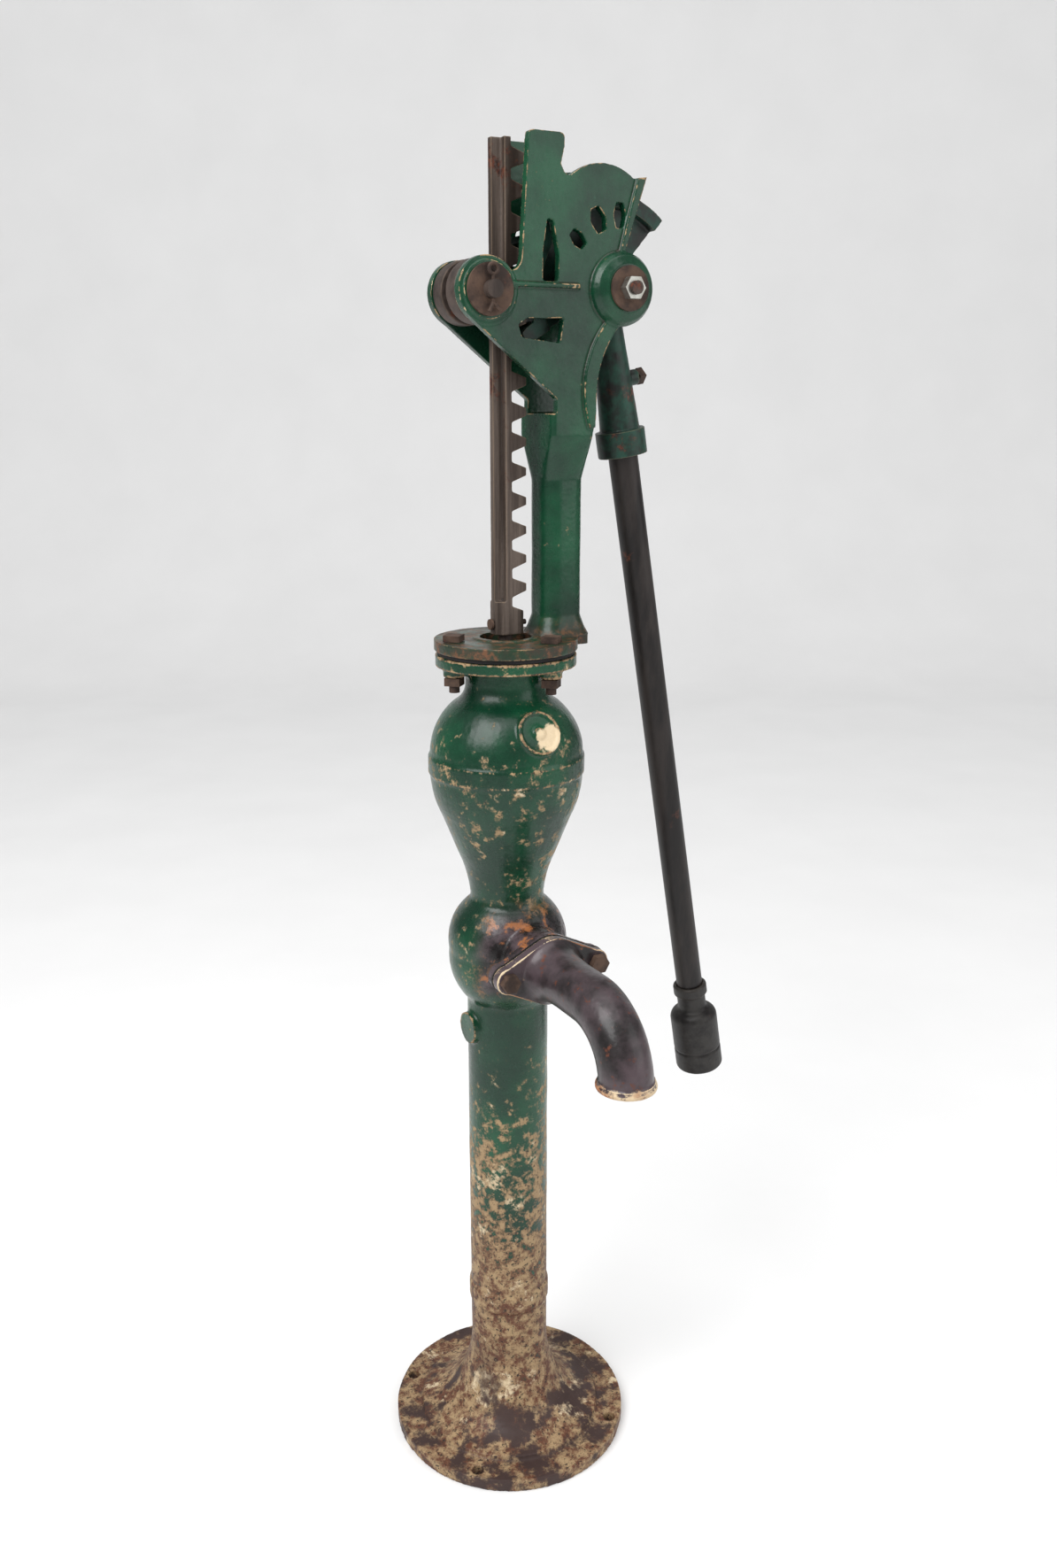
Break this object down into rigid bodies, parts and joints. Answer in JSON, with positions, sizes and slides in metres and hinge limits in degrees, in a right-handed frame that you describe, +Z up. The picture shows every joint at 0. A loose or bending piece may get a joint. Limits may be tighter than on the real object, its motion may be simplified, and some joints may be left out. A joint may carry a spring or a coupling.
{
  "type": "hand well pump",
  "caption": "Cast-iron hand well pump: flanged stand with spout, forked head, toothed sector on a long lever driving a rack, rod and piston.",
  "frame": {"origin": "centre of the base flange's underside, on the axis of the column", "axes": "+Z up along the column, +X from the rack towards the lever, the spout faces -Y"},
  "size_m": [0.4742, 0.4484, 1.562],
  "materials": {
    "green_iron": "worn green paint over cast iron, chipped to tan undercoat and rust",
    "rusty_iron": "bare cast iron, brown oxide",
    "bare_iron": "oiled bare iron, grey brown",
    "dark_steel": "black painted steel worn to brown",
    "zinc_steel": "bright zinc",
    "brass": "satin brass",
    "leather": "oiled leather",
    "rubber": "black sheet rubber"
  },
  "bodies": {
    "stand": {"pump_stand": "green_iron", "head_casting": "green_iron", "head_gasket": "rubber", "flange_bolts": "rusty_iron", "flange_nuts": "rusty_iron", "spout": "rusty_iron", "spout_gasket": "rubber", "spout_bolts": "rusty_iron", "spout_nuts": "rusty_iron", "cylinder_liner": "brass", "foot_valve_seat": "brass", "pivot_bolt": "bare_iron", "pivot_washers": "rusty_iron", "pivot_nut": "zinc_steel", "roller_pin": "bare_iron", "roller_washer": "rusty_iron", "roller_split_pin": "rusty_iron"},
    "lever": {"lever_sector": "green_iron", "handle_pipe": "dark_steel", "handle_knob": "dark_steel", "handle_set_screw": "rusty_iron"},
    "rack": {"rack": "bare_iron", "rod_pin": "rusty_iron", "pump_rod": "bare_iron", "piston_body": "brass", "piston_cup": "leather", "cup_ring": "brass", "cup_nut": "brass", "piston_cage": "brass"},
    "roller": {"guide_roller": "bare_iron"},
    "piston_valve": {"piston_ball": "brass"},
    "foot_valve": {"foot_valve_poppet": "brass", "foot_valve_leather": "leather", "foot_valve_nut": "brass"}
  },
  "joints": [
    {"name": "lever_swing", "type": "hinge", "parent": "stand", "child": "lever", "pos_m": [0.122, 0, 1.413], "axis": [0, -1, 0], "range_deg": [0, 70]},
    {"name": "rack_slide", "type": "slide", "parent": "stand", "child": "rack", "axis": [0, 0, 1], "range_m": [-0.13489, 0]},
    {"name": "roller_spin", "type": "hinge", "parent": "stand", "child": "roller", "pos_m": [-0.03855, 0, 1.408], "axis": [0, 1, 0], "range_deg": [0, 233.83]},
    {"name": "piston_valve_lift", "type": "slide", "parent": "rack", "child": "piston_valve", "axis": [0, 0, 1], "range_m": [0, 0.0075]},
    {"name": "foot_valve_lift", "type": "slide", "parent": "stand", "child": "foot_valve", "axis": [0, 0, 1], "range_m": [0, 0.0075]}
  ],
  "couplings": [
    {"joint": "rack_slide", "follows": "lever_swing", "m_per_rad": -0.11},
    {"joint": "roller_spin", "follows": "lever_swing", "ratio": 3.3333}
  ]
}
